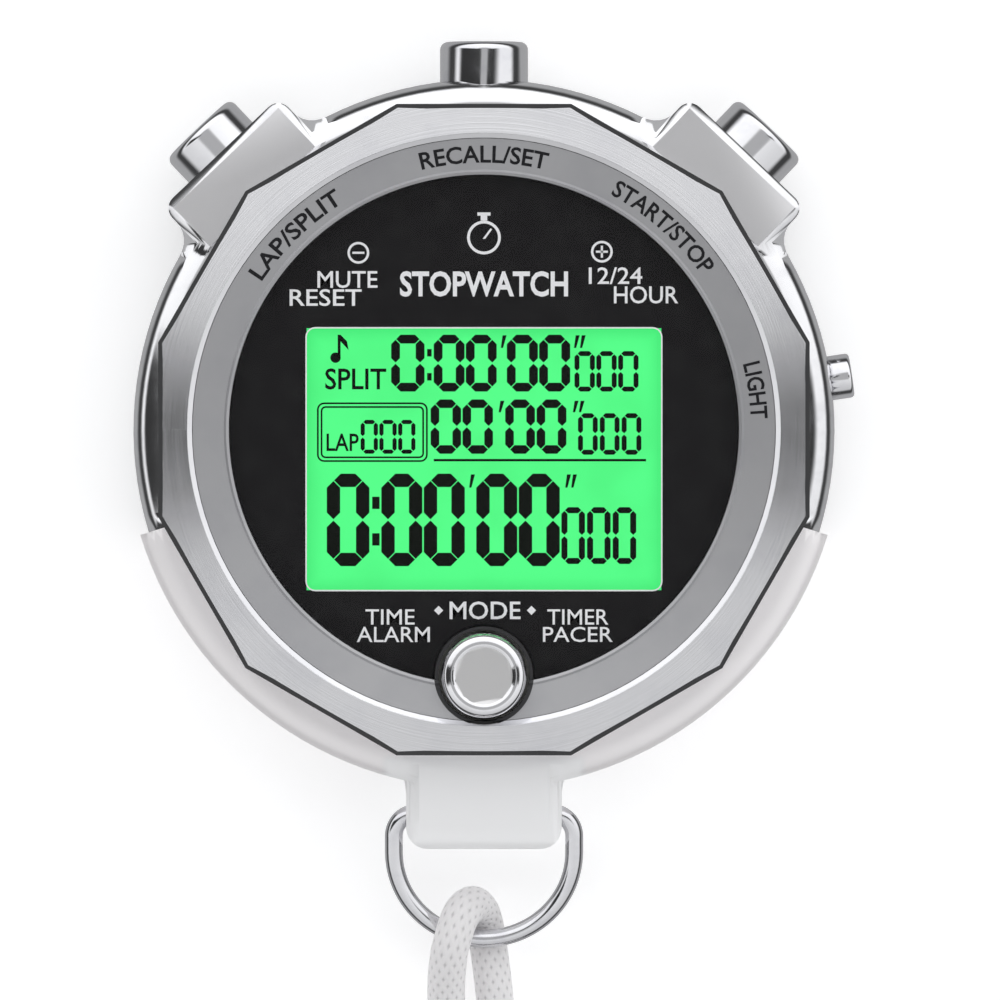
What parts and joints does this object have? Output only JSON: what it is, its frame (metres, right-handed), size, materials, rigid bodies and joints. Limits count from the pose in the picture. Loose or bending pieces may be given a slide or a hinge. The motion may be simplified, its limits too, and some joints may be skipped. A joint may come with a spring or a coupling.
{
  "type": "digital stopwatch",
  "caption": "Hand-held digital stopwatch: round metal case with twelve-sided bezel, lit display, edge and face push buttons, and a wire ring with a looped cord lanyard.",
  "frame": {"origin": "on the dial axis, in the plane of the back cover's outer face, which the stopwatch rests on", "axes": "+Z out of the dial, +Y towards 12 o'clock and the top button, +X towards 3 o'clock; the ring and lanyard lie towards -Y"},
  "size_m": [0.0663, 0.1781, 0.0189],
  "materials": {
    "case_metal": "polished rim, satin flank and lug",
    "bezel_metal": "circular brushed",
    "label_ring": "satin grey paint with dark print",
    "lens": "clear",
    "dial_black": "gloss black with white print",
    "display_green": "lit green",
    "light_guide": "milky",
    "zebra_rubber": "matt",
    "frame_plastic": "matt",
    "board_green": "solder mask",
    "screw_steel": "turned",
    "epoxy_black": "cured epoxy",
    "cell_steel": "pressed",
    "smd_body": "matt",
    "contact_brass": "sheet",
    "spring_steel": "drawn wire",
    "gasket_rubber": "matt",
    "back_steel": "brushed",
    "button_chrome": "polished",
    "ring_steel": "polished wire",
    "cord_fabric": "braided",
    "ferrule_metal": "pressed",
    "tie_fabric": "woven"
  },
  "bodies": {
    "case": {"case_body": "case_metal", "bezel": "bezel_metal", "label_ring": "label_ring", "lens": "lens", "dial_mask": "dial_black", "lcd_panel": "display_green", "backlight": "light_guide", "zebra_upper": "zebra_rubber", "zebra_lower": "zebra_rubber", "movement_frame": "frame_plastic", "pcb": "board_green", "pcb_screws": "screw_steel", "ic_blob": "epoxy_black", "crystal_can": "cell_steel", "smd_parts": "smd_body", "switch_leaves": "contact_brass", "mode_dome": "cell_steel", "battery": "cell_steel", "battery_strap": "spring_steel", "battery_contact": "contact_brass", "buzzer": "contact_brass", "buzzer_spring": "spring_steel", "back_gasket": "gasket_rubber", "back_cover": "back_steel", "back_screws": "screw_steel", "recall_spring": "spring_steel", "lap_spring": "spring_steel", "start_spring": "spring_steel", "light_spring": "spring_steel", "mode_spring": "spring_steel", "lanyard_ferrule": "ferrule_metal", "lanyard_leads": "cord_fabric", "lanyard_coil": "cord_fabric", "coil_tie": "tie_fabric"},
    "recall_button": {"recall_button": "button_chrome", "recall_clip": "spring_steel"},
    "lap_button": {"lap_button": "button_chrome", "lap_clip": "spring_steel"},
    "start_button": {"start_button": "button_chrome", "start_clip": "spring_steel"},
    "light_button": {"light_button": "button_chrome", "light_clip": "spring_steel"},
    "mode_button": {"mode_button": "button_chrome", "mode_clip": "spring_steel"},
    "ring": {"d_ring": "ring_steel", "lanyard_bight": "cord_fabric"}
  },
  "joints": [
    {"name": "recall_push", "type": "slide", "parent": "case", "child": "recall_button", "axis": [0, -1, 0], "range_m": [0, 0.0012], "stiffness_N_per_m": 1000, "springref_m": -0.0012, "deforming": ["recall_spring"]},
    {"name": "lap_push", "type": "slide", "parent": "case", "child": "lap_button", "axis": [0.6884, -0.7254, 0], "range_m": [0, 0.0012], "stiffness_N_per_m": 1000, "springref_m": -0.0012, "deforming": ["lap_spring"]},
    {"name": "start_push", "type": "slide", "parent": "case", "child": "start_button", "axis": [-0.6884, -0.7254, 0], "range_m": [0, 0.0012], "stiffness_N_per_m": 1000, "springref_m": -0.0012, "deforming": ["start_spring"]},
    {"name": "light_push", "type": "slide", "parent": "case", "child": "light_button", "axis": [-0.989, -0.1478, 0], "range_m": [0, 0.0008], "stiffness_N_per_m": 900, "springref_m": -0.001, "deforming": ["light_spring"]},
    {"name": "mode_push", "type": "slide", "parent": "case", "child": "mode_button", "axis": [0, 0, -1], "range_m": [0, 0.0008], "stiffness_N_per_m": 1100, "springref_m": -0.001, "deforming": ["mode_spring"]},
    {"name": "ring_swing", "type": "hinge", "parent": "case", "child": "ring", "pos_m": [0, -0.0352, 0.0075], "axis": [-1, 0, 0], "range_deg": [0, 105]}
  ]
}
